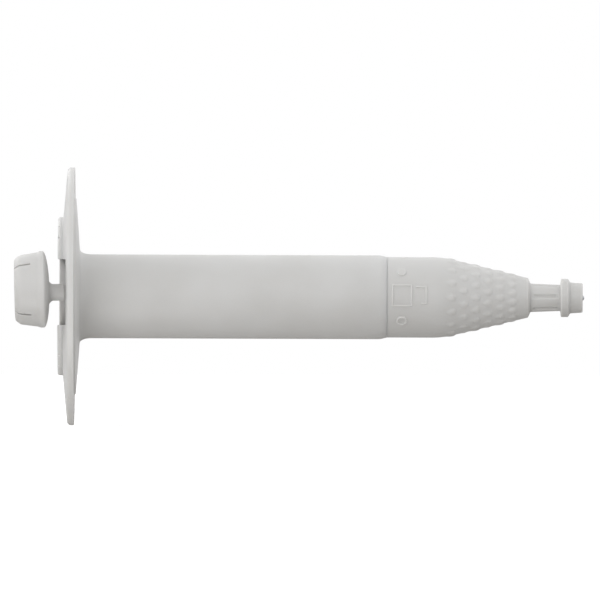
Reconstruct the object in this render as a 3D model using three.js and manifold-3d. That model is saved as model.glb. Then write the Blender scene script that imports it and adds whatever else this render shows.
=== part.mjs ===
// Insulation plate anchor: a plastic sleeve with a round plate, a hollow driving tip that
// carries a steel nail, and a closing plug parked on the plate's front.
// Millimetres. +X is the way the anchor goes into the wall, +Z is up, and the origin is the
// centre of the plate's back face, on the anchor's axis.
import * as THREE from 'three';
import { mergeVertices } from 'three/addons/utils/BufferGeometryUtils.js';
import Module from 'manifold-3d';

const wasm = await Module();
wasm.setup();

// ---------------------------------------------------------------- driving dimensions
const GAP = 0.3;                 // clearance kept between neighbouring pieces
const OVERCUT = 1;               // how far a cutting body stands past what it cuts

// Plate: a thin disc, a little thicker towards its middle on both faces
const PLATE_RADIUS = 30;
const RIM_FRONT_X = -1.6;        // front face at the rim
const RIM_ROUND = 1.1;           // rounding of the rim's front edge
const CONE_FRONT_X = -2.65;      // front face where it meets the raised ring
const BACK_FLAT_RADIUS = 23;     // the back face is flat outside this radius
const BACK_STEP = 0.35;          // small step where the back face starts to rise
const HUB_RADIUS = 10.9;         // radius at which the back face meets the hub fillet
const HUB_X = 1.2;
const HUB_FILLET_END_X = 3.9;

// Raised key ring on the front, for the render coat, and the collar round the mouth
const RING_OUTER = 18.4;
const RING_INNER = 10.6;
const RING_FRONT_X = -3.85;
const RING_EDGE = 0.55;          // bevel of the ring's outer edge
const COLLAR_FRONT_X = -3.42;
const KEY_GROOVES = 7;           // radial grooves in each half of the ring
const KEY_GROOVE_PITCH = 14;     // degrees between them
const KEY_GROOVE_WIDTH = 0.55;
const KEY_GROOVE_DEPTH = 0.4;
const KEY_GROOVE_START = 11.4;   // radius at which a radial groove begins
const KEY_CIRCLE_RADIUS = 14.4;  // one round groove in the ring
const CHANNEL_WIDTH = 15.2;      // gaps in the ring on the two sides
const CHANNEL_RISE = 0.95;       // height of the gaps' middle above the axis
const CHANNEL_FLOOR_X = -1.3;    // the plug's own channel is cut down to here

// Sleeve tube
const TUBE_RADIUS = 9.75;
const BORE_RADIUS = 8.5;
const MOUTH_CHAMFER = 0.4;
const SLEEVE_END_X = 72.6;
const SOCKET_START_X = 65;
const SOCKET_RADIUS = 9.1;

// Driving tip
const SPIGOT_LEAD = 0.4;         // lead-in chamfer of the end that goes into the sleeve
const TIP_RADIUS = 9.35;
const TIP_BORE_RADIUS = 8.0;
const CONE_START_X = 85.6;
const CONE_END_X = 105.4;
const CONE_END_RADIUS = 4.6;
const CONE_EDGE = 0.45;          // rounding where the cone ends
const NECK_START_X = 106;
const NECK_RADIUS = 3.3;
const NECK_END_RADIUS = 3.05;
const COLLAR_START_X = 112.9;
const COLLAR_END_X = 114.7;
const COLLAR_RADIUS = 4.45;
const COLLAR_CHAMFER_X = 115.3;
const NOSE_RADIUS = 3.6;
const NOSE_END_RADIUS = 3.4;
const NOSE_X = 118.1;            // the end that meets the wall behind the insulation
const SEAT_X = 102.4;            // inner shoulder at the end of the hollow cone
const SEAT_RADIUS = 4.0;
const NECK_FLUTES = 6;            // the first one faces -Y
const NECK_FLUTE_RADIUS = 0.55;
const NECK_FLUTE_MARGIN = 0.5;   // plain neck left at both ends of a flute

// Nail and its two washers
const NAIL_RADIUS = 1.85;
const NAIL_HEAD_X = 77.5;        // the face that the tool strikes
const NAIL_LENGTH = 41;
const NAIL_POINT_LENGTH = 5.8;
const NAIL_HEAD_RADIUS = 3.5;
const NAIL_HEAD_THICK = 1.8;
const NAIL_HEAD_EDGE = 0.3;
const WASHER_RADIUS = 3.9;
const WASHER_THICK = 1.0;
const WASHER_EDGE = 0.15;
const GUIDE_RADIUS = 3.7;
const GUIDE_THICK = 1.2;
const GUIDE_EDGE = 0.2;

// Closing plug, parked beside the mouth with its fingers facing away from the plate
const PLUG_PARK_Y = -20.8;       // the plug's axis, beside the mouth
const PLUG_RISE = 1.6;           // height of the plug's axis
const STEM_RISE = 0.85;          // height of the stem's axis
const PLUG_LEAN = 1;             // degrees that the plug leans down at its free end
const PLUG_BACK_X = -5.8;
const PLUG_LENGTH = 8.3;
const PLUG_DOME = 1.45;          // height of the rounded back
const PLUG_BODY_RADIUS = 8.6;
const PLUG_LIP_RADIUS = 8.85;
const PLUG_LIP_WIDTH = 0.6;
const PLUG_LIP_STEP = 0.25;
const PLUG_TIP_RADIUS = 7.95;
const PLUG_TIP_ROUND = 1.7;      // length of the fingers' rounded ends
const PLUG_HOLLOW_RADIUS = 5.6;  // inside the fingers
const PLUG_HOLLOW_DEPTH = 5.4;
const SLIT_DEPTH = 3.9;
const SLIT_WIDTH = 0.5;
const STEM_RADIUS = 1.95;
const STEM_ROOT = 0.5;           // bevel at the break-off root

// Number of sides used to turn each size of round body, and steps in a rounded edge
const LARGE_SIDES = 64;
const MEDIUM_SIDES = 48;
const SMALL_SIDES = 28;
const EDGE_STEPS = 4;

const NATURAL_PLASTIC = { color: '#d9d8d3', roughness: 0.5, metalness: 0 };
const PALE_PLASTIC = { color: '#e8e6df', roughness: 0.45, metalness: 0 };
const ZINC_STEEL = { color: '#b4b7bc', roughness: 0.35, metalness: 1 };

// ---------------------------------------------------------------- geometry helpers

// A closed three.js geometry as a solid that can be joined and cut.
function solid(geometry) {
  const bare = geometry.index ? geometry.toNonIndexed() : geometry.clone();
  bare.deleteAttribute('normal');
  bare.deleteAttribute('uv');
  const merged = mergeVertices(bare, 1e-4);
  const points = merged.attributes.position;
  const source = merged.index.array;
  const corner = (index) => new THREE.Vector3().fromBufferAttribute(points, index);
  const kept = [];
  let volume = 0;
  for (let i = 0; i < source.length; i += 3) {
    const [a, b, c] = source.slice(i, i + 3);
    if (a !== b && b !== c && a !== c) {
      kept.push(a, b, c);
      volume += corner(a).dot(corner(b).cross(corner(c)));
    }
  }
  if (volume < 0) {
    kept.reverse();
  }
  return new wasm.Manifold(new wasm.Mesh({
    numProp: 3,
    vertProperties: new Float32Array(points.array),
    triVerts: new Uint32Array(kept),
  }));
}

// A finished solid as a named three.js mesh.
function piece(name, body, finish) {
  const mesh = body.getMesh();
  const geometry = new THREE.BufferGeometry();
  geometry.setAttribute('position', new THREE.BufferAttribute(new Float32Array(mesh.vertProperties), 3));
  geometry.setIndex(new THREE.BufferAttribute(new Uint32Array(mesh.triVerts), 1));
  geometry.computeVertexNormals();
  const result = new THREE.Mesh(geometry, new THREE.MeshStandardMaterial(finish));
  result.name = name;
  return result;
}

// Turns an outline of [x, radius] points round the X axis. It starts and ends on the axis.
function turned(outline, sides) {
  const points = outline.map(([x, radius]) => new THREE.Vector2(radius, x));
  const geometry = new THREE.LatheGeometry(points, sides);
  geometry.rotateZ(-Math.PI / 2);
  return solid(geometry);
}

// The same for an outline that goes round a hollow and closes on itself.
function turnedRing(outline, sides) {
  return turned([...outline, outline[0]], sides);
}

// Part of an ellipse as [x, radius] points, for rounded edges, fillets and domes.
function round(centre, size, fromDegrees, toDegrees, steps) {
  const points = [];
  for (let i = 0; i <= steps; i += 1) {
    const angle = THREE.MathUtils.degToRad(fromDegrees + ((toDegrees - fromDegrees) * i) / steps);
    points.push([centre[0] + size[0] * Math.cos(angle), centre[1] + size[1] * Math.sin(angle)]);
  }
  return points;
}

function joined(bodies) {
  return bodies.reduce((whole, body) => whole.add(body));
}

// ---------------------------------------------------------------- plate and sleeve

// Radial grooves and one round groove, which break the raised ring into key pads.
function keyGrooves() {
  const floor = RING_FRONT_X + KEY_GROOVE_DEPTH;
  const top = RING_FRONT_X - OVERCUT;
  const half = KEY_GROOVE_WIDTH / 2;
  const circle = turnedRing([
    [top, KEY_CIRCLE_RADIUS - half],
    [floor, KEY_CIRCLE_RADIUS - half],
    [floor, KEY_CIRCLE_RADIUS + half],
    [top, KEY_CIRCLE_RADIUS + half],
  ], LARGE_SIDES);
  const length = RING_OUTER + OVERCUT - KEY_GROOVE_START;
  const radial = [];
  for (const middleOfHalf of [0, 180]) {
    for (let i = 0; i < KEY_GROOVES; i += 1) {
      const degrees = middleOfHalf + (i - (KEY_GROOVES - 1) / 2) * KEY_GROOVE_PITCH;
      const groove = new THREE.BoxGeometry(floor - top, KEY_GROOVE_WIDTH, length);
      groove.translate((floor + top) / 2, 0, KEY_GROOVE_START + length / 2);
      groove.rotateX(THREE.MathUtils.degToRad(degrees));
      radial.push(solid(groove));
    }
  }
  return joined([circle, ...radial]);
}

// A gap in the raised ring, running out sideways past the rim. The collar stays. side is -1 or 1.
function ringGap(side, floor) {
  const top = RING_FRONT_X - OVERCUT;
  const length = PLATE_RADIUS + OVERCUT;
  const gap = new THREE.BoxGeometry(floor - top, length, CHANNEL_WIDTH);
  gap.translate((floor + top) / 2, (side * length) / 2, CHANNEL_RISE);
  const collar = turned([
    [top - OVERCUT, 0],
    [top - OVERCUT, RING_INNER],
    [floor + OVERCUT, RING_INNER],
    [floor + OVERCUT, 0],
  ], LARGE_SIDES);
  return solid(gap).subtract(collar);
}

function plateSleeve() {
  const outside = turned([
    [RING_FRONT_X, 0],
    [RING_FRONT_X, RING_OUTER - RING_EDGE],
    [RING_FRONT_X + RING_EDGE, RING_OUTER],
    [CONE_FRONT_X, RING_OUTER],
    ...round([RIM_FRONT_X + RIM_ROUND, PLATE_RADIUS - RIM_ROUND], [RIM_ROUND, RIM_ROUND], 180, 90, EDGE_STEPS),
    [0, PLATE_RADIUS],
    [0, BACK_FLAT_RADIUS],
    [BACK_STEP, BACK_FLAT_RADIUS - BACK_STEP],
    ...round(
      [HUB_FILLET_END_X, HUB_RADIUS],
      [HUB_FILLET_END_X - HUB_X, HUB_RADIUS - TUBE_RADIUS],
      180,
      270,
      EDGE_STEPS,
    ),
    [SLEEVE_END_X, TUBE_RADIUS],
    [SLEEVE_END_X, 0],
  ], LARGE_SIDES);
  const inside = turned([
    [RING_FRONT_X - OVERCUT, 0],
    [RING_FRONT_X - OVERCUT, RING_INNER],
    [COLLAR_FRONT_X, RING_INNER],
    [COLLAR_FRONT_X, BORE_RADIUS + MOUTH_CHAMFER],
    [COLLAR_FRONT_X + MOUTH_CHAMFER, BORE_RADIUS],
    [SOCKET_START_X, BORE_RADIUS],
    [SOCKET_START_X, SOCKET_RADIUS],
    [SLEEVE_END_X + OVERCUT, SOCKET_RADIUS],
    [SLEEVE_END_X + OVERCUT, 0],
  ], LARGE_SIDES);
  const cuts = joined([inside, keyGrooves(), ringGap(-1, CHANNEL_FLOOR_X), ringGap(1, CONE_FRONT_X)]);
  return piece('plate_sleeve', outside.subtract(cuts), NATURAL_PLASTIC);
}

// ---------------------------------------------------------------- driving tip

function neckFlutes() {
  const length = COLLAR_START_X - NECK_START_X - 2 * NECK_FLUTE_MARGIN;
  const flutes = [];
  for (let i = 0; i < NECK_FLUTES; i += 1) {
    const flute = new THREE.CylinderGeometry(NECK_FLUTE_RADIUS, NECK_FLUTE_RADIUS, length, 8);
    flute.rotateZ(-Math.PI / 2);
    flute.translate(NECK_START_X + NECK_FLUTE_MARGIN + length / 2, 0, NECK_RADIUS);
    flute.rotateX(Math.PI / 2 + (i * 2 * Math.PI) / NECK_FLUTES);
    flutes.push(solid(flute));
  }
  return joined(flutes);
}

function drivingTip() {
  const spigotX = SOCKET_START_X + GAP;
  const spigotRadius = SOCKET_RADIUS - GAP;
  const shoulderX = SLEEVE_END_X + GAP;
  const nailBore = NAIL_RADIUS + GAP;
  const shell = turnedRing([
    [spigotX, TIP_BORE_RADIUS],
    [spigotX, spigotRadius - SPIGOT_LEAD / 2],
    [spigotX + SPIGOT_LEAD, spigotRadius],
    [shoulderX, spigotRadius],
    [shoulderX, TIP_RADIUS],
    [CONE_START_X, TIP_RADIUS],
    [CONE_END_X, CONE_END_RADIUS],
    [CONE_END_X + CONE_EDGE, CONE_END_RADIUS - CONE_EDGE],
    [NECK_START_X, NECK_RADIUS],
    [COLLAR_START_X, NECK_END_RADIUS],
    [COLLAR_START_X, COLLAR_RADIUS],
    [COLLAR_END_X, COLLAR_RADIUS],
    [COLLAR_CHAMFER_X, NOSE_RADIUS],
    [NOSE_X, NOSE_END_RADIUS],
    [NOSE_X, nailBore],
    [SEAT_X, nailBore],
    [SEAT_X, SEAT_RADIUS],
    [CONE_START_X, TIP_BORE_RADIUS],
  ], MEDIUM_SIDES);
  return piece('driving_tip', shell.subtract(neckFlutes()), NATURAL_PLASTIC);
}

// The guide washer sits at the end of the hollow cone and centres the nail.
function guideWasher() {
  const front = SEAT_X - GAP;
  const back = front - GUIDE_THICK;
  const body = turnedRing([
    [back, NAIL_RADIUS + GAP],
    [back, GUIDE_RADIUS],
    [front - GUIDE_EDGE, GUIDE_RADIUS],
    [front, GUIDE_RADIUS - GUIDE_EDGE],
    [front, NAIL_RADIUS + GAP],
  ], SMALL_SIDES);
  return piece('guide_washer', body, PALE_PLASTIC);
}

// ---------------------------------------------------------------- nail, from its head's face

function driveNail() {
  const body = turned([
    [0, 0],
    [0, NAIL_HEAD_RADIUS - NAIL_HEAD_EDGE],
    [NAIL_HEAD_EDGE, NAIL_HEAD_RADIUS],
    [NAIL_HEAD_THICK - NAIL_HEAD_EDGE, NAIL_HEAD_RADIUS],
    [NAIL_HEAD_THICK, NAIL_HEAD_RADIUS - NAIL_HEAD_EDGE],
    [NAIL_HEAD_THICK, NAIL_RADIUS],
    ...round([NAIL_LENGTH - NAIL_POINT_LENGTH, 0], [NAIL_POINT_LENGTH, NAIL_RADIUS], 90, 0, 2 * EDGE_STEPS),
  ], SMALL_SIDES);
  return piece('drive_nail', body, ZINC_STEEL);
}

function headWasher() {
  const back = NAIL_HEAD_THICK + GAP;
  const body = turnedRing([
    [back, NAIL_RADIUS + GAP],
    [back, WASHER_RADIUS - WASHER_EDGE],
    [back + WASHER_EDGE, WASHER_RADIUS],
    [back + WASHER_THICK, WASHER_RADIUS],
    [back + WASHER_THICK, NAIL_RADIUS + GAP],
  ], SMALL_SIDES);
  return piece('head_washer', body, ZINC_STEEL);
}

// ---------------------------------------------------------------- closing plug, from its back

// Two crossed saw cuts, which part the plug's free end into four fingers.
function fingerSlits(freeEnd) {
  return joined([45, -45].map((degrees) => {
    const slit = new THREE.BoxGeometry(2 * SLIT_DEPTH, 2 * (PLUG_LIP_RADIUS + OVERCUT), SLIT_WIDTH);
    slit.rotateX(THREE.MathUtils.degToRad(degrees));
    slit.translate(freeEnd, 0, 0);
    return solid(slit);
  }));
}

function plugStem() {
  const end = CHANNEL_FLOOR_X - GAP - PLUG_BACK_X;
  const outline = [
    [-PLUG_DOME, 0],
    [-PLUG_DOME, STEM_RADIUS],
    [end - STEM_ROOT, STEM_RADIUS],
    [end, STEM_RADIUS - STEM_ROOT],
    [end, 0],
  ].map(([x, radius]) => new THREE.Vector2(radius, x));
  const geometry = new THREE.LatheGeometry(outline, SMALL_SIDES);
  geometry.rotateZ(-Math.PI / 2);
  geometry.translate(0, 0, STEM_RISE - PLUG_RISE);
  return solid(geometry);
}

function closingPlug() {
  const freeEnd = -PLUG_LENGTH;
  const lipEnd = -PLUG_DOME;
  const lipStart = lipEnd - PLUG_LIP_WIDTH;
  const cup = turned([
    [freeEnd + PLUG_HOLLOW_DEPTH, 0],
    [freeEnd + PLUG_HOLLOW_DEPTH, PLUG_HOLLOW_RADIUS],
    ...round(
      [freeEnd + PLUG_TIP_ROUND, PLUG_HOLLOW_RADIUS],
      [PLUG_TIP_ROUND, PLUG_TIP_RADIUS - PLUG_HOLLOW_RADIUS],
      180,
      90,
      EDGE_STEPS,
    ),
    [freeEnd + SLIT_DEPTH, PLUG_BODY_RADIUS],
    [lipStart - PLUG_LIP_STEP, PLUG_BODY_RADIUS],
    [lipStart, PLUG_LIP_RADIUS],
    ...round([lipEnd, 0], [PLUG_DOME, PLUG_LIP_RADIUS], 90, 0, 2 * EDGE_STEPS),
  ], MEDIUM_SIDES);
  return piece('closing_plug', cup.subtract(fingerSlits(freeEnd)).add(plugStem()), NATURAL_PLASTIC);
}

// ---------------------------------------------------------------- assembly

const anchor = new THREE.Group();
anchor.add(plateSleeve(), drivingTip(), guideWasher());

const nail = new THREE.Group();
nail.add(driveNail(), headWasher());
nail.position.x = NAIL_HEAD_X;
anchor.add(nail);

const plug = closingPlug();
plug.position.set(PLUG_BACK_X, PLUG_PARK_Y, PLUG_RISE);
plug.rotation.y = -THREE.MathUtils.degToRad(PLUG_LEAN);
anchor.add(plug);

export default anchor;
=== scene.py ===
# %% [markdown]
# # Insulation plate anchor
# A plastic anchor that holds thick insulation board on a wall. One long moulding makes the round plate and
# the sleeve, a second one makes the tapered driving tip, and a small plug hangs on the plate's front until it
# closes the mouth. A short zinc-plated nail waits inside the tip. Each of them is made here as a fine mesh
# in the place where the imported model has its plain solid.

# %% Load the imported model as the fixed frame
from math import atan, cos, degrees, pi, radians, sin, tan

import bmesh
import bpy
from mathutils import Matrix, Vector


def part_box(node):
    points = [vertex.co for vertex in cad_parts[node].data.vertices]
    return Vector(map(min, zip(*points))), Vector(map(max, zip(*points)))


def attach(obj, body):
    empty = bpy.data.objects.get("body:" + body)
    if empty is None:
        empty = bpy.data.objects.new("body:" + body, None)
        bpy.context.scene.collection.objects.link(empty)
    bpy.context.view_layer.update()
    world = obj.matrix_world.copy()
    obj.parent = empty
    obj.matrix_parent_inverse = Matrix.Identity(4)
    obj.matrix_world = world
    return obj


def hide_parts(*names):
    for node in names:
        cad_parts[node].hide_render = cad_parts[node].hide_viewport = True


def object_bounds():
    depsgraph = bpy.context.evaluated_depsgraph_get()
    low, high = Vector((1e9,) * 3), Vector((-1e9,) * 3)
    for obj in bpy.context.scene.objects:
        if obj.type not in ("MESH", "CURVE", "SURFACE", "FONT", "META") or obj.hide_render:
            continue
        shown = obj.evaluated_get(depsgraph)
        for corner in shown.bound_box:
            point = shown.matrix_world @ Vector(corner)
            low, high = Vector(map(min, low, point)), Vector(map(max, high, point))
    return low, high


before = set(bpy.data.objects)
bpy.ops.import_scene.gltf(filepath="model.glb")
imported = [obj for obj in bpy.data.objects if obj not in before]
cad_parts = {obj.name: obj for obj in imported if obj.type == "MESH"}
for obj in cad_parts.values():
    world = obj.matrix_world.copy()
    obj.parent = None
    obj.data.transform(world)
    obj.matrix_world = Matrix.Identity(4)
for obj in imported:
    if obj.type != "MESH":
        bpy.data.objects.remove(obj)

MM = 0.001                       # outlines are in millimetres, meshes in metres
cad_low, cad_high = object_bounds()
scene = bpy.context.scene
print("model box, mm:", [round(v / MM, 2) for v in (*cad_low, *cad_high)])

# %% [markdown]
# ## Camera
# The anchor is seen square from the side, from so far away that the plate shows as a thin edge. A very long
# lens does that: it flattens the view like a catalogue picture, while it is still a real perspective.

# %% Camera
VIEW_DISTANCE = 6.0
VIEW_WIDTH = 0.1395              # how much of the anchor's plane the picture spans
VIEW_CENTRE_X = 0.0524
VIEW_CENTRE_Z = -0.0007
VIEW_ROLL = 0.2                  # degrees; the anchor lies a touch nose-down
SENSOR = 36.0

camera_data = bpy.data.cameras.new("side_camera")
camera_data.sensor_width = SENSOR
camera_data.lens = SENSOR * VIEW_DISTANCE / VIEW_WIDTH
camera_data.clip_start = 0.1
camera_data.clip_end = 20.0
camera = bpy.data.objects.new("side_camera", camera_data)
camera.location = (VIEW_CENTRE_X, -VIEW_DISTANCE, VIEW_CENTRE_Z)
camera.rotation_euler = (pi / 2, radians(-VIEW_ROLL), 0)
scene.collection.objects.link(camera)
scene.camera = camera
print("lens, mm:", round(camera_data.lens))

# %% [markdown]
# ## Turned bodies
# Nearly everything here is round about the X axis, so a piece starts as an outline of stations along the
# axis. A station is (x, radius) or (x, radius, rounding). A moulding has no sharp edges, and rounding each
# corner in the outline gives cleaner edges than a Bevel modifier does after the booleans.

# %% Outline helpers
ARC_STEP = 15.0                  # degrees between two points of a rounding


def soften(stations, closed):
    """Rounds the corners of an outline. A closed one runs back to its first station."""
    points = []
    for i, station in enumerate(stations):
        corner = Vector(station[:2])
        rounding = station[2] if len(station) > 2 else 0
        is_end = not closed and i in (0, len(stations) - 1)
        if not rounding or is_end:
            points.append(corner)
            continue
        back = Vector(stations[i - 1][:2]) - corner
        ahead = Vector(stations[(i + 1) % len(stations)][:2]) - corner
        half = back.angle(ahead) / 2
        reach = min(rounding / tan(half), 0.48 * back.length, 0.48 * ahead.length)
        radius = reach * tan(half)
        back.normalize()
        ahead.normalize()
        middle = corner + (back + ahead).normalized() * radius / sin(half)
        arm = corner + back * reach - middle
        sweep = pi - 2 * half
        if back.x * ahead.y - back.y * ahead.x > 0:
            sweep = -sweep
        steps = max(2, round(abs(degrees(sweep)) / ARC_STEP))
        for k in range(steps + 1):
            turn = sweep * k / steps
            swung = (arm.x * cos(turn) - arm.y * sin(turn), arm.x * sin(turn) + arm.y * cos(turn))
            points.append(middle + Vector(swung))
    return points


def arc(centre, size, start, end, steps):
    """Part of an ellipse as stations, with its angles in degrees."""
    angles = [radians(start + (end - start) * k / steps) for k in range(steps + 1)]
    return [(centre[0] + size[0] * cos(a), centre[1] + size[1] * sin(a)) for a in angles]


def stretch(start, end, steps):
    """Evenly spaced stations between two stations, without the two ends."""
    a, b = Vector(start), Vector(end)
    return [tuple(a.lerp(b, k / steps)) for k in range(1, steps)]


# %% Mesh helpers
def to_object(name, mesh):
    """A finished bmesh as an object at the origin."""
    bmesh.ops.recalc_face_normals(mesh, faces=mesh.faces)
    data = bpy.data.meshes.new(name)
    mesh.to_mesh(data)
    mesh.free()
    made = bpy.data.objects.new(name, data)
    scene.collection.objects.link(made)
    return made


def turned(name, stations, sides, closed=False):
    """Turns an outline round the X axis. An open outline starts and ends on the axis."""
    mesh = bmesh.new()
    angles = [2 * pi * i / sides for i in range(sides)]
    rings = []
    for x, radius in soften(stations, closed):
        if radius < 1e-6:
            rings.append([mesh.verts.new((x * MM, 0, 0))] * sides)
        else:
            places = [Vector((x, radius * cos(a), radius * sin(a))) * MM for a in angles]
            rings.append([mesh.verts.new(place) for place in places])
    following = rings[1:] + (rings[:1] if closed else [])
    for ring, after in zip(rings, following):
        for i in range(sides):
            j = (i + 1) % sides
            corners = list(dict.fromkeys((ring[i], ring[j], after[j], after[i])))
            if len(corners) > 2:
                mesh.faces.new(corners)
    return to_object(name, mesh)


def bar(name, section, start, end, place):
    """A straight bar. place(along, across, up) says where a point of it lies, in millimetres."""
    mesh = bmesh.new()
    outline = soften(section, closed=True)
    ends = []
    for along in (start, end):
        ends.append([mesh.verts.new(Vector(place(along, *point)) * MM) for point in outline])
    mesh.faces.new(ends[0])
    mesh.faces.new(ends[1])
    for i in range(len(outline)):
        j = (i + 1) % len(outline)
        mesh.faces.new((ends[0][i], ends[0][j], ends[1][j], ends[1][i]))
    return to_object(name, mesh)


def settle(made):
    """Bakes the modifiers of a piece into its mesh and takes them off."""
    depsgraph = bpy.context.evaluated_depsgraph_get()
    baked = bpy.data.meshes.new_from_object(made.evaluated_get(depsgraph), depsgraph=depsgraph)
    made.modifiers.clear()
    made.data = baked
    return made


def combine(made, operation, *others):
    """Boolean of a piece with others, which are used up."""
    for other in others:
        boolean = made.modifiers.new("join_or_cut", "BOOLEAN")
        boolean.operation = operation
        boolean.solver = "EXACT"
        boolean.object = other
    settle(made)
    for other in others:
        bpy.data.objects.remove(other)
    return made


# %% [markdown]
# ## Node tools
# Geometry Nodes will cut and raise what repeats: the key grooves, the studs on the cone and the flutes of
# the neck. A tree needs many small sums, so two short helpers write them, and one helper runs a finished
# tree on a piece with its named inputs.

# %% Node helpers
def new_tree(name, inputs):
    """An empty Geometry Nodes tree with a Geometry input and output, and the inputs named here."""
    tree = bpy.data.node_groups.new(name, "GeometryNodeTree")
    tree.interface.new_socket("Geometry", in_out="INPUT", socket_type="NodeSocketGeometry")
    for label, kind in inputs.items():
        tree.interface.new_socket(label, in_out="INPUT", socket_type="NodeSocket" + kind)
    tree.interface.new_socket("Geometry", in_out="OUTPUT", socket_type="NodeSocketGeometry")
    return tree, tree.nodes.new("NodeGroupInput").outputs


def node(tree, kind, links=None, **settings):
    """A node with its settings, and its inputs linked or set by name."""
    made = tree.nodes.new(kind)
    for key, value in settings.items():
        setattr(made, key, value)
    for label, value in (links or {}).items():
        if isinstance(value, bpy.types.NodeSocket):
            tree.links.new(value, made.inputs[label])
        else:
            made.inputs[label].default_value = value
    return made


def maths(tree, operation, *values, clamp=False):
    """One Math node on sockets or plain numbers."""
    made = tree.nodes.new("ShaderNodeMath")
    made.operation = operation
    made.use_clamp = clamp
    for socket, value in zip(made.inputs, values):
        if isinstance(value, bpy.types.NodeSocket):
            tree.links.new(value, socket)
        else:
            socket.default_value = value
    return made.outputs[0]


def add_tree(made, tree, values):
    """Puts a tree on an object. Its inputs are set by their identifiers before it is first evaluated."""
    modifier = made.modifiers.new(tree.name, "NODES")
    modifier.node_group = tree
    for item in tree.interface.items_tree:
        if item.in_out == "INPUT" and item.name in values:
            modifier[item.identifier] = values[item.name]


def run_tree(made, tree, values):
    """Runs a tree on a piece and bakes what it made."""
    add_tree(made, tree, values)
    return settle(made)


def end_tree(tree, geometry, material):
    """The last nodes of every tree: real geometry, one material, and the output."""
    real = node(tree, "GeometryNodeRealizeInstances", {"Geometry": geometry}).outputs[0]
    painted = node(tree, "GeometryNodeSetMaterial", {"Geometry": real, "Material": material}).outputs[0]
    node(tree, "NodeGroupOutput", {"Geometry": painted})


# %% [markdown]
# ## Natural polyethylene
# Undyed polyethylene is a greyish white with a satin skin. Light goes a millimetre or two into it, which
# softens the shade and leaves thin edges lighter. The skin has a faint orange peel from the tool, long draw
# marks along the sleeve, and cloudy patches where the melt cooled unevenly. The node tree keeps each of
# these small, because the real surface looks plain until light grazes it.

# %% Shader helpers
def link(tree, value, socket):
    tree.links.new(value, socket)


def noise(tree, vector, scale, detail=3.0, roughness=0.5):
    """A noise texture on those coordinates, whose scale is in waves per metre."""
    made = node(tree, "ShaderNodeTexNoise", {"Vector": vector, "Scale": scale, "Detail": detail})
    made.inputs["Roughness"].default_value = roughness
    return made.outputs["Fac"]


def spread(tree, value, low, high, to_low, to_high):
    """Maps a stretch of values on to another."""
    made = node(tree, "ShaderNodeMapRange", {"Value": value, "From Min": low, "From Max": high})
    made.inputs["To Min"].default_value = to_low
    made.inputs["To Max"].default_value = to_high
    return made.outputs["Result"]


def blend_colours(tree, factor, first, second):
    made = node(tree, "ShaderNodeMix", data_type="RGBA")
    link(tree, factor, made.inputs["Factor"])
    made.inputs[6].default_value = (*first, 1)
    made.inputs[7].default_value = (*second, 1)
    return made.outputs[2]


def bump(tree, height, distance, strength, under=None):
    made = node(tree, "ShaderNodeBump", {"Height": height, "Distance": distance, "Strength": strength})
    if under:
        link(tree, under, made.inputs["Normal"])
    return made.outputs["Normal"]


# %% Polyethylene material
CLOUD_SIZE = 0.016
PEEL_SIZE = 0.0007
DRAW_MARK_LENGTH = 0.03
DRAW_MARK_WIDTH = 0.0004
PEEL_HEIGHT = 0.00001
DRAW_MARK_HEIGHT = 0.000006
BUMP_STRENGTH = 0.35
LIGHT_DEPTH = 0.0014             # how far light travels inside the plastic


def polyethylene(name, shade, offset):
    """Natural polyethylene. shade is its linear colour, and offset moves the pattern to another place."""
    material = bpy.data.materials.new(name)
    material.use_nodes = True
    tree = material.node_tree
    skin = tree.nodes["Principled BSDF"]
    place = node(tree, "ShaderNodeTexCoord").outputs["Object"]
    moved = node(tree, "ShaderNodeMapping", {"Vector": place, "Location": (offset, 0, 0)}).outputs["Vector"]
    drawn = node(tree, "ShaderNodeMapping", {"Vector": moved}).outputs["Vector"]
    drawn.node.inputs["Scale"].default_value = (DRAW_MARK_WIDTH / DRAW_MARK_LENGTH, 1, 1)

    clouds = noise(tree, moved, 1 / CLOUD_SIZE, detail=2)
    specks = noise(tree, moved, 3 / PEEL_SIZE, detail=1)
    marks = noise(tree, drawn, 1 / DRAW_MARK_WIDTH, detail=2, roughness=0.6)
    peel = noise(tree, moved, 1 / PEEL_SIZE, detail=1)

    thin = tuple(c * 1.03 for c in shade)
    dense = (shade[0] * 0.965, shade[1] * 0.962, shade[2] * 0.955)
    mottle = maths(tree, "ADD", maths(tree, "MULTIPLY", clouds, 0.8), maths(tree, "MULTIPLY", specks, 0.2))
    factor = spread(tree, mottle, 0.35, 0.65, 0, 1)
    link(tree, blend_colours(tree, factor, thin, dense), skin.inputs["Base Color"])
    satin = spread(tree, clouds, 0.3, 0.7, 0.36, 0.44)
    scuffed = maths(tree, "ADD", satin, maths(tree, "MULTIPLY", marks, 0.08))
    link(tree, scuffed, skin.inputs["Roughness"])
    peeled = bump(tree, peel, PEEL_HEIGHT, BUMP_STRENGTH)
    link(tree, bump(tree, marks, DRAW_MARK_HEIGHT, BUMP_STRENGTH, under=peeled), skin.inputs["Normal"])

    skin.inputs["IOR"].default_value = 1.5
    skin.inputs["Subsurface Weight"].default_value = 0.8
    skin.inputs["Subsurface Radius"].default_value = (1.0, 0.97, 0.93)
    skin.inputs["Subsurface Scale"].default_value = LIGHT_DEPTH
    return material


sleeve_plastic = polyethylene("sleeve_polyethylene", (0.63, 0.629, 0.623), 0.0)
tip_plastic = polyethylene("tip_polyethylene", (0.62, 0.618, 0.611), 0.31)
plug_plastic = polyethylene("plug_polyethylene", (0.61, 0.607, 0.60), 0.57)
washer_plastic = polyethylene("washer_polyethylene", (0.72, 0.70, 0.64), 0.83)

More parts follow.
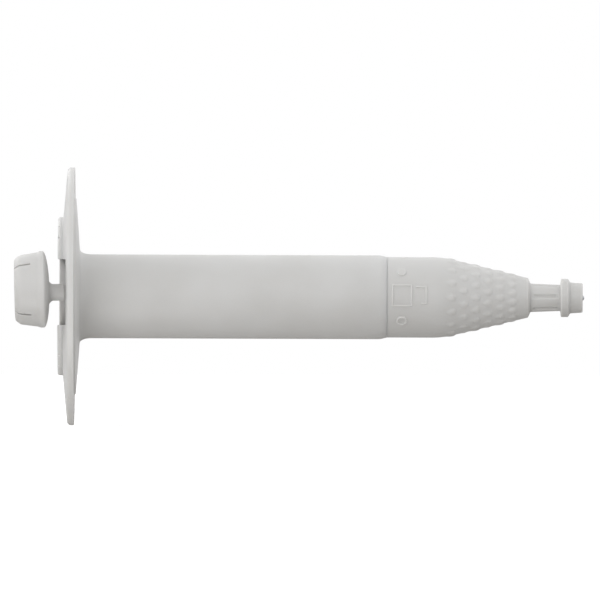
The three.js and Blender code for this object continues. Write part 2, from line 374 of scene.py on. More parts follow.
# %% [markdown]
# ## Zinc-plated steel
# The nail is drawn wire with a headed end, hardened and then plated with a thin coat of bright zinc. Plating
# has a bluish grey cast, fine spangles and a roughness that changes from patch to patch. Drawing leaves long
# scratches along the shank.

# %% Zinc material
SPANGLE_SIZE = 0.0006
SCRATCHES_PER_METRE = 9000
SCRATCH_STRETCH = 0.03           # width of a scratch as a part of its length
SCRATCH_HEIGHT = 0.00001


def zinc(name, shade, rough):
    """Bright zinc plating on drawn steel."""
    material = bpy.data.materials.new(name)
    material.use_nodes = True
    tree = material.node_tree
    skin = tree.nodes["Principled BSDF"]
    skin.inputs["Metallic"].default_value = 1.0
    place = node(tree, "ShaderNodeTexCoord").outputs["Object"]
    drawn = node(tree, "ShaderNodeMapping", {"Vector": place}).outputs["Vector"]
    drawn.node.inputs["Scale"].default_value = (SCRATCH_STRETCH, 1, 1)
    spangle = noise(tree, place, 1 / SPANGLE_SIZE, detail=2)
    scratches = noise(tree, drawn, SCRATCHES_PER_METRE, detail=2, roughness=0.65)
    dull = tuple(c * 0.8 for c in shade)
    patches = spread(tree, spangle, 0.35, 0.65, 0, 1)
    link(tree, blend_colours(tree, patches, shade, dull), skin.inputs["Base Color"])
    link(tree, spread(tree, spangle, 0.3, 0.7, rough, rough + 0.14), skin.inputs["Roughness"])
    link(tree, bump(tree, scratches, SCRATCH_HEIGHT, 0.4), skin.inputs["Normal"])
    return material


nail_zinc = zinc("nail_zinc", (0.56, 0.58, 0.61), 0.24)
washer_zinc = zinc("washer_zinc", (0.60, 0.61, 0.62), 0.30)

# %% [markdown]
# ## Handing a piece over
# A finished piece is smooth except along its real edges, rides on the body that moves it, and stands for the
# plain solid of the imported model.

# %% Finish helper
SMOOTH_LIMIT = 32.0              # degrees; sharper edges than this stay sharp
WELD = 0.000002                  # points closer than this are one


def weld(made):
    """Joins points that a boolean left double, drops faces without area and splits faces of many corners."""
    mesh = bmesh.new()
    mesh.from_mesh(made.data)
    bmesh.ops.remove_doubles(mesh, verts=mesh.verts, dist=WELD)
    bmesh.ops.dissolve_degenerate(mesh, edges=mesh.edges, dist=WELD)
    bmesh.ops.triangulate(mesh, faces=[face for face in mesh.faces if len(face.verts) > 4])
    bmesh.ops.dissolve_degenerate(mesh, edges=mesh.edges, dist=WELD)
    faulty = sum(not edge.is_manifold for edge in mesh.edges)
    mesh.to_mesh(made.data)
    mesh.free()
    print(made.name, "edges that aren't between two faces:", faulty)


def hand_over(made, material, body, cad_node):
    """A sound mesh, smooth shading, one material, and the frame calls."""
    weld(made)
    if not made.data.materials:
        made.data.materials.append(material)
    made.data.shade_smooth()
    made.data.set_sharp_from_angle(angle=radians(SMOOTH_LIMIT))
    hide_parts(cad_node)
    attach(made, body)
    triangles = sum(len(face.vertices) - 2 for face in made.data.polygons)
    print(made.name, "triangles", triangles)


# %% [markdown]
# ## Plate and sleeve
# One moulding: a thin round plate that is a little thicker in its middle, a raised key ring on its front, a
# collar round the mouth, and the long tube behind it. It is turned in one go as a closed ring outline that
# runs down the outside and back through the bore, and the gaps and grooves are cut afterwards.

# %% Sizes of the plate and sleeve
sleeve_low, sleeve_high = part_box("plate_sleeve")
PLATE_RADIUS = sleeve_high.z / MM
RING_FRONT_X = sleeve_low.x / MM
SLEEVE_END_X = sleeve_high.x / MM
RIM_FRONT_X = -1.6
PLATE_FRONT_X = -2.65            # front of the plate where the key ring stands on it
BACK_FLAT_RADIUS = 23.0
HUB_RADIUS = 10.9
HUB_X = 1.2
HUB_END_X = 3.9
RING_OUTER = 18.4
RING_INNER = 10.6
COLLAR_FRONT_X = -3.42
BORE_RADIUS = 8.5
TUBE_RADIUS = 9.75
END_TAPER = 1.6                  # length of the taper that ends the sleeve
END_RADIUS = 9.38
SOCKET_X = 65.0
SOCKET_RADIUS = 9.1
SLEEVE_SIDES = 256
print("plate radius", round(PLATE_RADIUS, 2), "front", round(RING_FRONT_X, 2), "end", round(SLEEVE_END_X, 2))

# %% Turn the blank
GROOVE_HALF = 0.275
GROOVE_FLOOR_X = RING_FRONT_X + 0.4
KEY_CIRCLE = 14.4

blank_outline = [
    (COLLAR_FRONT_X, BORE_RADIUS, 0.35),
    (COLLAR_FRONT_X, RING_INNER, 0.12),
    (RING_FRONT_X, RING_INNER, 0.14),
    (RING_FRONT_X, KEY_CIRCLE - GROOVE_HALF, 0.12),
    (GROOVE_FLOOR_X, KEY_CIRCLE - GROOVE_HALF, 0.08),
    (GROOVE_FLOOR_X, KEY_CIRCLE + GROOVE_HALF, 0.08),
    (RING_FRONT_X, KEY_CIRCLE + GROOVE_HALF, 0.12),
    (RING_FRONT_X, RING_OUTER, 0.5),
    (PLATE_FRONT_X, RING_OUTER, 0.25),
    (RIM_FRONT_X, PLATE_RADIUS, 1.0),
    (0, PLATE_RADIUS, 0.3),
    (0, BACK_FLAT_RADIUS, 0.2),
    (0.35, BACK_FLAT_RADIUS - 0.3, 0.2),
    *arc((HUB_END_X, HUB_RADIUS), (HUB_END_X - HUB_X, HUB_RADIUS - TUBE_RADIUS), 180, 270, 9),
    (SLEEVE_END_X - END_TAPER, TUBE_RADIUS, 3.0),
    (SLEEVE_END_X, END_RADIUS),
    (SLEEVE_END_X, SOCKET_RADIUS, 0.1),
    (SOCKET_X, SOCKET_RADIUS, 0.1),
    (SOCKET_X, BORE_RADIUS, 0.1),
]
plate_and_sleeve = turned("plate_and_sleeve", blank_outline, SLEEVE_SIDES, closed=True)
print("blank faces", len(plate_and_sleeve.data.polygons))

# %% [markdown]
# ## Gaps in the key ring
# The ring is open on its two sides. The near gap is deeper and runs out over the rim: the closing plug's stem
# grows out of it. The cutter's section opens out with a small radius where it leaves the ring's face, so the
# cut leaves softened edges and no bevel has to be made on the cut mesh.

# %% Cut the gaps
GAP_WIDTH = 15.2
GAP_RISE = 0.95
NEAR_FLOOR_X = -1.9
ABOVE_FACE = 0.02                # how far the section's shoulder stays off the face it cuts
SHAVE = 0.02                     # keeps a cut off a face that is already there, where it would leave slivers
CLEAR = 2.0                      # how far a cutter stands out of the piece


def cutter_section(half, floor, edge, corner):
    """Section of a cutter that enters the ring's face: (across, x) with softened shoulders."""
    top = RING_FRONT_X - CLEAR
    shoulder = RING_FRONT_X - ABOVE_FACE
    right = [(half, floor, corner), (half, RING_FRONT_X, edge), (half + 1, shoulder), (half + 1, top)]
    return right + [(-point[0], *point[1:]) for point in reversed(right)]


def gap_cutter(name, side, floor):
    """Cuts one gap from the collar out over the rim. side is -1 for the near gap and 1 for the far one."""
    section = cutter_section(GAP_WIDTH / 2, floor, 0.25, 0.35)
    cutter = bar(name, section, side, side * (PLATE_RADIUS + CLEAR), lambda along, across, x: (
        x, along, across + GAP_RISE))
    top = RING_FRONT_X - 2 * CLEAR
    core_radius = RING_INNER - SHAVE
    core = [(top, 0), (top, core_radius), (CLEAR, core_radius), (CLEAR, 0)]
    return combine(cutter, "DIFFERENCE", turned("collar_core", core, SLEEVE_SIDES))


near_gap = gap_cutter("near_gap", -1, NEAR_FLOOR_X)
far_gap = gap_cutter("far_gap", 1, PLATE_FRONT_X)
combine(plate_and_sleeve, "DIFFERENCE", near_gap, far_gap)
print("after the gaps", len(plate_and_sleeve.data.polygons))

# %% [markdown]
# ## Key grooves
# Shallow grooves break each half of the ring into pads, which key the render coat. Fourteen grooves at an
# even pitch are a job for Geometry Nodes: the tree puts copies of one cutter round the axis, makes them real
# and takes them out of the moulding.

# %% Tree that cuts round the axis
def cut_round_axis_tree():
    tree, given = new_tree("cut_round_axis", {
        "Cutter": "Object", "Groups": "Int", "Per Group": "Int", "Pitch": "Float", "Material": "Material"})
    index = node(tree, "GeometryNodeInputIndex").outputs[0]
    group = maths(tree, "FLOOR", maths(tree, "DIVIDE", index, given["Per Group"]))
    within = maths(tree, "MODULO", index, given["Per Group"])
    middle = maths(tree, "DIVIDE", maths(tree, "SUBTRACT", given["Per Group"], 1.0), 2.0)
    steps = maths(tree, "MULTIPLY", maths(tree, "SUBTRACT", within, middle), given["Pitch"])
    whole = maths(tree, "DIVIDE", maths(tree, "MULTIPLY", group, 2 * pi), given["Groups"])
    turn = node(tree, "ShaderNodeCombineXYZ", {"X": maths(tree, "ADD", steps, whole)}).outputs[0]
    rotation = node(tree, "FunctionNodeEulerToRotation", {"Euler": turn}).outputs[0]
    count = maths(tree, "MULTIPLY", given["Groups"], given["Per Group"])
    points = node(tree, "GeometryNodePoints", {"Count": count}).outputs[0]
    cutter = node(tree, "GeometryNodeObjectInfo", {"Object": given["Cutter"]}).outputs["Geometry"]
    copies = node(tree, "GeometryNodeInstanceOnPoints", {
        "Points": points, "Instance": cutter, "Rotation": rotation}).outputs[0]
    real = node(tree, "GeometryNodeRealizeInstances", {"Geometry": copies}).outputs[0]
    boolean = node(tree, "GeometryNodeMeshBoolean", operation="DIFFERENCE", solver="EXACT")
    link(tree, given["Geometry"], boolean.inputs["Mesh 1"])
    link(tree, real, boolean.inputs["Mesh 2"])
    end_tree(tree, boolean.outputs["Mesh"], given["Material"])
    return tree


# %% Cut the key grooves
GROOVES_PER_HALF = 7
GROOVE_PITCH = 14.0
GROOVE_START = 11.4
RADIAL_FLOOR_X = GROOVE_FLOOR_X + SHAVE   # a hair below the round groove's floor

groove_section = cutter_section(GROOVE_HALF, RADIAL_FLOOR_X, 0.12, 0.08)
groove_end = RING_OUTER + CLEAR
groove_cutter = bar("groove_cutter", groove_section, GROOVE_START, groove_end, lambda along, across, x: (
    x, across, along))
run_tree(plate_and_sleeve, cut_round_axis_tree(), {
    "Cutter": groove_cutter, "Groups": 2, "Per Group": GROOVES_PER_HALF, "Pitch": radians(GROOVE_PITCH),
    "Material": sleeve_plastic})
bpy.data.objects.remove(groove_cutter)
hand_over(plate_and_sleeve, sleeve_plastic, "sleeve", "plate_sleeve")

# %% [markdown]
# ## Driving tip
# The lower tube plugs into the sleeve and tapers to the neck, the collar and the nose that meet the wall. It
# is turned with closely spaced stations along the cone and the neck, because the studs and flutes are pushed
# out of that fine grid afterwards. A smooth swelling of one surface looks more like a moulding than separate
# bumps stuck on it.

# %% Sizes of the tip
tip_low, tip_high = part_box("driving_tip")
SPIGOT_X = tip_low.x / MM
NOSE_X = tip_high.x / MM
TIP_RADIUS = 9.35
TIP_BORE = 8.0
CONE_X = 85.6
CONE_BLEND = 22.0                # large radius that leads from the tube into the cone
CONE_END_X = 105.4
CONE_END_RADIUS = 4.6
NECK_X = 106.0
NECK_RADIUS = 3.3
COLLAR_X = 112.9
NECK_END_RADIUS = 3.05
COLLAR_RADIUS = 4.45
COLLAR_END_X = 114.7
NOSE_RADIUS = 3.6
NOSE_END_RADIUS = 3.4
NAIL_BORE = 2.15
SEAT_X = 102.4
SEAT_RADIUS = 4.0
TIP_SIDES = 240
BLEND_STEPS = 26
CONE_STEPS = 96
NECK_STEPS = 40
JOINT_GAP = 0.03                 # keeps the tip's shoulder off the sleeve's end
print("tip from", round(SPIGOT_X, 2), "to", round(NOSE_X, 2))

# %% Turn the tip
cone_slope = atan((TIP_RADIUS - CONE_END_RADIUS) / (CONE_END_X - CONE_X))
blend_start_x = CONE_X - CONE_BLEND * tan(cone_slope / 2)
blend_centre = (blend_start_x, TIP_RADIUS - CONE_BLEND)
cone_blend = arc(blend_centre, (CONE_BLEND, CONE_BLEND), 90, 90 - degrees(cone_slope), BLEND_STEPS)
neck_start, neck_end = (NECK_X + 0.25, NECK_RADIUS), (COLLAR_X - 0.25, NECK_END_RADIUS)
tip_outline = [
    (SPIGOT_X, TIP_BORE, 0.1),
    (SPIGOT_X, SOCKET_RADIUS - 0.3, 0.25),
    (SLEEVE_END_X + JOINT_GAP, SOCKET_RADIUS - 0.3),
    (SLEEVE_END_X + JOINT_GAP, TIP_RADIUS),
    *cone_blend,
    *stretch(cone_blend[-1], (CONE_END_X, CONE_END_RADIUS), CONE_STEPS),
    (CONE_END_X, CONE_END_RADIUS, 0.5),
    (NECK_X, NECK_RADIUS, 0.3),
    neck_start,
    *stretch(neck_start, neck_end, NECK_STEPS),
    neck_end,
    (COLLAR_X, NECK_END_RADIUS, 0.15),
    (COLLAR_X + 0.15, COLLAR_RADIUS, 0.2),
    (COLLAR_END_X, COLLAR_RADIUS, 0.2),
    (COLLAR_END_X + 0.5, NOSE_RADIUS, 0.2),
    (NOSE_X, NOSE_END_RADIUS, 0.25),
    (NOSE_X, NAIL_BORE, 0.12),
    (SEAT_X, NAIL_BORE),
    (SEAT_X, SEAT_RADIUS, 0.2),
    (CONE_X, TIP_BORE, 3.0),
]
tip = turned("driving_tip_moulding", tip_outline, TIP_SIDES, closed=True)
print("tip faces", len(tip.data.polygons))


# %% [markdown]
# ## Studs on the cone
# Rows of low studs grip the hole in the board. Each row is turned by half a stud against the one before it,
# and a stud rises gently and ends in a steeper step towards the wall. The tree finds, for every point of the
# cone, the nearest stud's middle and lifts the point by the height that its distance gives.

# %% Sums that the studs and the flutes share
FACING_LIMIT = 0.3               # least cosine to the outward direction of a face that may move


def product(tree, first, second):
    return maths(tree, "MULTIPLY", first, second)


def ratio(tree, value, whole, clamp=False):
    return maths(tree, "DIVIDE", value, whole, clamp=clamp)


def sum_of_squares(tree, first, second):
    return maths(tree, "ADD", product(tree, first, first), product(tree, second, second))


def outward(tree):
    """Position, radius, the direction away from the axis, and whether the surface faces that way."""
    position = node(tree, "GeometryNodeInputPosition").outputs[0]
    parts = node(tree, "ShaderNodeSeparateXYZ", {"Vector": position}).outputs
    radius = maths(tree, "SQRT", sum_of_squares(tree, parts["Y"], parts["Z"]))
    direction = node(tree, "ShaderNodeCombineXYZ", {
        "Y": ratio(tree, parts["Y"], radius), "Z": ratio(tree, parts["Z"], radius)}).outputs[0]
    normal = node(tree, "GeometryNodeInputNormal").outputs[0]
    facing = node(tree, "ShaderNodeVectorMath", operation="DOT_PRODUCT")
    link(tree, normal, facing.inputs[0])
    link(tree, direction, facing.inputs[1])
    outside = maths(tree, "GREATER_THAN", facing.outputs["Value"], FACING_LIMIT)
    return parts, radius, direction, outside


def off_nearest(tree, turns, radius, count, width):
    """How far a point lies from the nearest of count copies round the axis, in half widths."""
    off = maths(tree, "SUBTRACT", turns, maths(tree, "ROUND", turns))
    pitch = ratio(tree, product(tree, radius, 2 * pi), count)
    return ratio(tree, product(tree, off, pitch), ratio(tree, width, 2.0))


def push_out(tree, given, direction, height, selection):
    """Moves the selected points along direction by height, sets the material and ends the tree."""
    offset = node(tree, "ShaderNodeVectorMath", operation="SCALE")
    link(tree, direction, offset.inputs[0])
    link(tree, height, offset.inputs["Scale"])
    moved = node(tree, "GeometryNodeSetPosition", {
        "Geometry": given["Geometry"], "Selection": selection, "Offset": offset.outputs[0]}).outputs[0]
    end_tree(tree, moved, given["Material"])


# %% Tree for the studs
def stud_tree():
    tree, given = new_tree("cone_studs", {
        "First Row": "Float", "Row Pitch": "Float", "Rows": "Int", "Per Row": "Int", "Length": "Float",
        "Width": "Float", "Height": "Float", "Lean": "Float", "Material": "Material"})
    parts, radius, direction, outside = outward(tree)
    past_start = maths(tree, "SUBTRACT", parts["X"], given["First Row"])
    rows_along = ratio(tree, past_start, given["Row Pitch"])
    row = maths(tree, "ROUND", rows_along)
    from_row = product(tree, maths(tree, "SUBTRACT", rows_along, row), given["Row Pitch"])
    angle = ratio(tree, maths(tree, "ARCTAN2", parts["Z"], parts["Y"]), 2 * pi)
    stagger = product(tree, maths(tree, "FLOORED_MODULO", row, 2.0), 0.5)
    turns = maths(tree, "ADD", product(tree, angle, given["Per Row"]), stagger)
    across = off_nearest(tree, turns, radius, given["Per Row"], given["Width"])
    along = ratio(tree, from_row, ratio(tree, given["Length"], 2.0))
    held = node(tree, "ShaderNodeClamp", {"Value": along, "Min": -1.0, "Max": 1.0}).outputs[0]
    arch = maths(tree, "SUBTRACT", 1.0, product(tree, held, held))
    leaning = maths(tree, "SUBTRACT", held, product(tree, arch, given["Lean"]))
    dome = maths(tree, "SUBTRACT", 1.0, sum_of_squares(tree, leaning, across), clamp=True)
    height = product(tree, dome, given["Height"])
    past_first = maths(tree, "GREATER_THAN", rows_along, -0.5)
    before_last = maths(tree, "LESS_THAN", rows_along, maths(tree, "SUBTRACT", given["Rows"], 0.5))
    on_rows = product(tree, past_first, before_last)
    push_out(tree, given, direction, height, product(tree, on_rows, outside))
    return tree


# %% Raise the studs
run_tree(tip, stud_tree(), {
    "First Row": 87.4 * MM, "Row Pitch": 2.82 * MM, "Rows": 6, "Per Row": 16, "Length": 2.5 * MM,
    "Width": 1.9 * MM, "Height": 0.22 * MM, "Lean": 0.4, "Material": tip_plastic})


# %% [markdown]
# ## Flutes of the neck
# Six shallow flutes run along the neck between the cone and the collar. They are the same kind of rule as the
# studs: how far a point lies from the nearest flute's middle says how deep it is pressed in, and the flutes
# run out softly at both ends.

# %% Tree for the flutes
def flute_tree():
    tree, given = new_tree("neck_flutes", {
        "Start": "Float", "End": "Float", "Run Out": "Float", "Flutes": "Int", "Width": "Float",
        "Depth": "Float", "First Angle": "Float", "Material": "Material"})
    parts, radius, direction, outside = outward(tree)
    angle = maths(tree, "SUBTRACT", maths(tree, "ARCTAN2", parts["Z"], parts["Y"]), given["First Angle"])
    turns = product(tree, ratio(tree, angle, 2 * pi), given["Flutes"])
    across = off_nearest(tree, turns, radius, given["Flutes"], given["Width"])
    hollow = maths(tree, "SUBTRACT", 1.0, product(tree, across, across), clamp=True)
    after_start = maths(tree, "SUBTRACT", parts["X"], given["Start"])
    before_end = maths(tree, "SUBTRACT", given["End"], parts["X"])
    rising = ratio(tree, after_start, given["Run Out"], clamp=True)
    fading = ratio(tree, before_end, given["Run Out"], clamp=True)
    depth = product(tree, product(tree, hollow, product(tree, rising, fading)), given["Depth"])
    push_out(tree, given, direction, product(tree, depth, -1.0), outside)
    return tree


# %% Press the flutes
FLUTE_TURN = 7.0                 # degrees that the first flute stands above the side

run_tree(tip, flute_tree(), {
    "Start": (NECK_X + 0.3) * MM, "End": (COLLAR_X - 0.3) * MM, "Run Out": 0.6 * MM, "Flutes": 6,
    "Width": 1.1 * MM, "Depth": 0.32 * MM, "First Angle": pi - radians(FLUTE_TURN), "Material": tip_plastic})


# %% [markdown]
# ## Mould marks
# The lower tube carries a few raised lines from the tool: a small ring, a disc, a plain frame and a bracket.
# The ring and the disc are turned. The lines are paths wrapped on the tube, and Geometry Nodes sweep a round
# section along them. The line's middle lies in the wall, so only a low rounded ridge stands proud.

# %% Paths wrapped on the tube
LINE_RADIUS = 0.3
LINE_SIDES = 10
LINE_STEP = 0.35                 # longest distance between two points of a line
LINE_SUNK = 0.09                 # depth of a line's middle; the rest of its radius stands proud


def on_tube(x, rise, sunk=0.0):
    """A point of the lower tube's front, rise millimetres up along its surface."""
    angle = rise / TIP_RADIUS
    radius = TIP_RADIUS - sunk
    return Vector((x, -radius * cos(angle), radius * sin(angle))) * MM


def line_path(*corners, closed=False):
    """A path through the corners, with points close enough to follow the tube's curve."""
    path = []
    ends = corners[1:] + (corners[:1] if closed else ())
    for start, end in zip(corners, ends):
        steps = max(1, round((Vector(end) - Vector(start)).length / LINE_STEP))
        path += [on_tube(*Vector(start).lerp(Vector(end), k / steps), LINE_SUNK) for k in range(steps)]
    if not closed:
        path.append(on_tube(*corners[-1], LINE_SUNK))
    return path, closed


mark_paths = [
    line_path((73.9, 2.9), (73.9, -1.95), (78.3, -1.95), (78.3, 2.9), closed=True),
    line_path((79.4, 2.5), (81.7, 2.5), (81.7, -1.5), (80.6, -1.5)),
]
marks_curve = bpy.data.curves.new("mould_marks", "CURVE")
marks_curve.dimensions = "3D"
for path, closed in mark_paths:
    spline = marks_curve.splines.new("POLY")
    spline.points.add(len(path) - 1)
    for point, place in zip(spline.points, path):
        point.co = (*place, 1)
    spline.use_cyclic_u = closed
marks_path = bpy.data.objects.new("mould_marks_path", marks_curve)
scene.collection.objects.link(marks_path)


# %% Sweep the raised lines
def raised_line_tree():
    tree, given = new_tree("raised_lines", {"Line Radius": "Float", "Material": "Material"})
    section = node(tree, "GeometryNodeCurvePrimitiveCircle", {
        "Radius": given["Line Radius"], "Resolution": LINE_SIDES})
    swept = node(tree, "GeometryNodeCurveToMesh", {
        "Curve": given["Geometry"], "Profile Curve": section.outputs[0], "Fill Caps": True}).outputs[0]
    end_tree(tree, swept, given["Material"])
    return tree


add_tree(marks_path, raised_line_tree(), {"Line Radius": LINE_RADIUS * MM, "Material": tip_plastic})
depsgraph = bpy.context.evaluated_depsgraph_get()
marks_mesh = bpy.data.meshes.new_from_object(marks_path.evaluated_get(depsgraph), depsgraph=depsgraph)
bpy.data.objects.remove(marks_path)
marks = bpy.data.objects.new("mould_marks", marks_mesh)
scene.collection.objects.link(marks)
print("mark faces", len(marks_mesh.polygons))

# %% Raised ring and disc
MARK_X = 76.0
RING_MARK_RISE = -5.85
DISC_MARK_RISE = 6.3
MARK_ROOT = -0.5                 # how deep a mark reaches into the tube's wall
MARK_SIDES = 48


def round_mark(name, rise, outline):
    """A small turned mark that stands square on the tube's surface."""
    mark = turned(name, [(MARK_ROOT, 0), *outline], MARK_SIDES)
    angle = rise / TIP_RADIUS
    outwards = Vector((0, -cos(angle), sin(angle)))
    facing = outwards.to_track_quat("X", "Z").to_matrix().to_4x4()
    mark.data.transform(Matrix.Translation(on_tube(MARK_X, rise)) @ facing)
    return mark


ring_mark = round_mark("ring_mark", RING_MARK_RISE, [
    (MARK_ROOT, 1.35), (0, 1.35, 0.1), (0.28, 1.2, 0.15), (0.28, 0.85, 0.15), (0.03, 0.7, 0.1), (0.03, 0)])
disc_mark = round_mark("disc_mark", DISC_MARK_RISE, [(MARK_ROOT, 1.1), (0.22, 1.1, 0.15), (0.24, 0)])
combine(tip, "UNION", marks, ring_mark, disc_mark)
hand_over(tip, tip_plastic, "sleeve", "driving_tip")

# %% [markdown]
# ## Nail and washers
# The nail is headed wire with a ballistic point, and its steel washer stops the drive. A plastic guide washer
# keeps the nail on the axis at the end of the cone. All three are turned, with rolled edges.

# %% Nail
nail_low, nail_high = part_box("drive_nail")
NAIL_HEAD_X = nail_low.x / MM
NAIL_END_X = nail_high.x / MM
NAIL_RADIUS = 1.85
HEAD_RADIUS = nail_high.z / MM
HEAD_THICK = 1.8
POINT_LENGTH = 5.8
nail_outline = [
    (NAIL_HEAD_X, 0),
    (NAIL_HEAD_X, HEAD_RADIUS, 0.35),
    (NAIL_HEAD_X + HEAD_THICK, HEAD_RADIUS, 0.3),
    (NAIL_HEAD_X + HEAD_THICK, NAIL_RADIUS, 0.15),
    *arc((NAIL_END_X - POINT_LENGTH, 0), (POINT_LENGTH, NAIL_RADIUS), 90, 6, 16),
    (NAIL_END_X, 0),
]
steel_nail = turned("steel_nail", nail_outline, 96)
hand_over(steel_nail, nail_zinc, "nail", "drive_nail")


# %% Washers
def washer_outline(node_name, hole, edge):
    """Outline of a flat washer that fills its node's box."""
    low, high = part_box(node_name)
    back, front, radius = low.x / MM, high.x / MM, high.z / MM
    return [(back, hole, edge), (back, radius, edge), (front, radius, edge), (front, hole, edge)]


head_washer = turned("steel_washer", washer_outline("head_washer", NAIL_BORE, 0.15), 96, closed=True)
hand_over(head_washer, washer_zinc, "nail", "head_washer")
guide_washer = turned("guide_disc", washer_outline("guide_washer", NAIL_BORE, 0.2), 96, closed=True)
hand_over(guide_washer, washer_plastic, "sleeve", "guide_washer")

# %% [markdown]
# ## Closing plug
# A short cup with a lip and a domed back. Two crossed saw cuts part its free end into four springy fingers,
# and a stem joins its back to the plate's near gap until it is broken off. It leans down a little, as soft
# mouldings do on a thin stem. It is built upright about the axis, cut and joined there, and moved last.

# %% Turn the cup
plug_low, plug_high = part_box("closing_plug")
PLUG_Y = (plug_low.y + plug_high.y) / 2 / MM
PLUG_BACK_X = -5.65
PLUG_RISE = 1.6
PLUG_LEAN = 1.5
FREE_END = -8.15
HOLLOW_DEPTH = 5.2
DOME = 1.45
BODY_RADIUS = 8.6
LIP_RADIUS = 8.85
FINGER_RADIUS = 7.95
HOLLOW_RADIUS = 5.6
cup_outline = [
    (FREE_END + HOLLOW_DEPTH, 0),
    (FREE_END + HOLLOW_DEPTH, HOLLOW_RADIUS, 0.5),
    (FREE_END, HOLLOW_RADIUS + 0.2, 0.4),
    (FREE_END + 0.1, FINGER_RADIUS - 0.9, 1.0),
    (FREE_END + 1.3, FINGER_RADIUS + 0.05, 1.2),
    (-DOME - 1.4, BODY_RADIUS, 0.6),
    (-DOME - 0.7, LIP_RADIUS, 0.25),
    *arc((-DOME, 0), (DOME, LIP_RADIUS), 90, 3, 18),
    (0, 0),
]
plug = turned("closing_plug_moulding", cup_outline, 192)

# %% Saw the slits and join the stem
SLIT_DEPTH = 3.9
SLIT_HALF = 0.25
STEM_RADIUS = 1.95
STEM_DROP = -0.75                # the stem's axis against the plug's
channel_depth = NEAR_FLOOR_X - PLUG_BACK_X


def slit(turn):
    """A saw cut right across the free end, with a rounded bottom."""
    bottom = FREE_END + SLIT_DEPTH
    section = [(-SLIT_HALF, FREE_END - CLEAR), (SLIT_HALF, FREE_END - CLEAR),
               (SLIT_HALF, bottom, 0.24), (-SLIT_HALF, bottom, 0.24)]
    return bar("slit", section, -LIP_RADIUS - CLEAR, LIP_RADIUS + CLEAR, lambda along, across, x: (
        x, along * cos(turn) - across * sin(turn), along * sin(turn) + across * cos(turn)))


stem_outline = [
    (-DOME, 0),
    (-DOME, STEM_RADIUS + 1.2),
    (-0.12, STEM_RADIUS + 0.75, 0.6),
    (0.45, STEM_RADIUS, 0.8),
    (channel_depth - 0.55, STEM_RADIUS, 0.3),
    (channel_depth, STEM_RADIUS - 0.5, 0.05),
    (channel_depth, 0),
]
stem = turned("stem", stem_outline, 96)
stem.data.transform(Matrix.Translation((0, 0, STEM_DROP * MM)))
combine(plug, "DIFFERENCE", slit(radians(45)), slit(radians(-45)))
combine(plug, "UNION", stem)
lean = Matrix.Rotation(-radians(PLUG_LEAN), 4, "Y")
plug.data.transform(Matrix.Translation(Vector((PLUG_BACK_X, PLUG_Y, PLUG_RISE)) * MM) @ lean)
hand_over(plug, plug_plastic, "plug", "closing_plug")

# %% [markdown]
# ## Floor
# The floor is a plain pale sheet that touches the plate's rim. It glows a little by itself, as a lit table
# does, and is left out of the light that reaches the anchor, so the underside keeps its shade.

# %% Floor
FLOOR_SIZE = 8.0
FLOOR_GLOW = 0.3
floor_mesh = bmesh.new()
bmesh.ops.create_grid(floor_mesh, x_segments=2, y_segments=2, size=FLOOR_SIZE / 2)
floor = to_object("floor", floor_mesh)
floor.location.z = cad_low.z
floor_paint = bpy.data.materials.new("floor_paint")
floor_paint.use_nodes = True
paint = floor_paint.node_tree.nodes["Principled BSDF"]
paint.inputs["Base Color"].default_value = (0.93, 0.93, 0.93, 1)
paint.inputs["Roughness"].default_value = 1.0
paint.inputs["Specular IOR Level"].default_value = 0.0
paint.inputs["Emission Color"].default_value = (1, 1, 1, 1)
paint.inputs["Emission Strength"].default_value = FLOOR_GLOW
floor.data.materials.append(floor_paint)
for ray in ("diffuse", "glossy", "transmission", "volume_scatter", "shadow"):
    setattr(floor, "visible_" + ray, False)

# %% [markdown]
# ## Light
# A studio tent gives most of the light: bright above, dimmer and slightly warm below. The background that
# the camera sees is plain white, whatever the tent's own brightness is. One weak soft box fills the shade in
# front and one lifts the shade beside the plug. Two more, from behind and from the left, brighten the upper
# edges. None of them shows itself, so the view from behind is as plain as the one from the front.

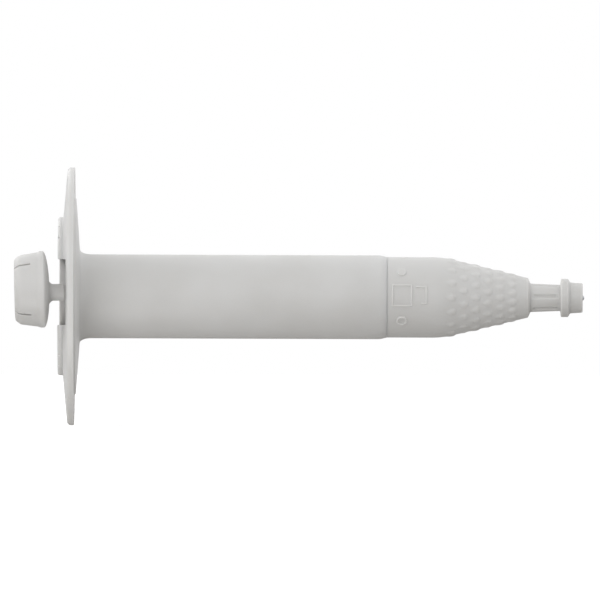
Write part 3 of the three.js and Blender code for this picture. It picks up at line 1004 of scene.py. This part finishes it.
# %% Light tent
TENT_TOP = 1.0
TENT_BOTTOM = 0.37
BRIGHTER_LEFT = 1.04             # strength of the tent's left end
DIMMER_RIGHT = 0.94              # strength of its right end
world = bpy.data.worlds.new("light_tent")
scene.world = world
world.use_nodes = True
sky = world.node_tree
direction = node(sky, "ShaderNodeTexCoord").outputs["Generated"]
parts = node(sky, "ShaderNodeSeparateXYZ", {"Vector": direction}).outputs
above = spread(sky, parts["Z"], -0.15, 0.05, 0, 1)
warm_below = (TENT_BOTTOM, TENT_BOTTOM * 0.97, TENT_BOTTOM * 0.93)
left_to_right = spread(sky, parts["X"], -1, 1, BRIGHTER_LEFT, DIMMER_RIGHT)
tent = node(sky, "ShaderNodeBackground", {"Strength": left_to_right})
link(sky, blend_colours(sky, above, warm_below, (TENT_TOP,) * 3), tent.inputs["Color"])
backdrop = node(sky, "ShaderNodeBackground", {"Strength": 1.0})
backdrop.inputs["Color"].default_value = (1, 1, 1, 1)
seen = node(sky, "ShaderNodeLightPath").outputs["Is Camera Ray"]
mixed = node(sky, "ShaderNodeMixShader", {"Fac": seen})
link(sky, tent.outputs[0], mixed.inputs[1])
link(sky, backdrop.outputs[0], mixed.inputs[2])
link(sky, mixed.outputs[0], sky.nodes["World Output"].inputs["Surface"])
scene.view_settings.view_transform = "Standard"


# %% Soft boxes
def soft_box(name, place, aim, size, power):
    """A square area light that looks at a point."""
    data = bpy.data.lights.new(name, "AREA")
    data.shape = "SQUARE"
    data.size = size
    data.energy = power
    box = bpy.data.objects.new(name, data)
    box.location = place
    box.rotation_euler = (Vector(aim) - Vector(place)).to_track_quat("-Z", "Y").to_euler()
    box.visible_camera = False
    scene.collection.objects.link(box)


soft_box("front_fill", (0.0, -0.6, 0.0), (0.03, 0, 0), 0.5, 0.36)
soft_box("low_left_fill", (-0.06, -0.17, -0.15), (-0.005, 0, 0), 0.12, 0.145)
soft_box("back_light", (-0.25, 0.5, 0.35), (0.03, 0, 0), 0.3, 0.4)
soft_box("left_light", (-0.5, -0.05, 0.3), (0, 0, 0), 0.3, 0.25)
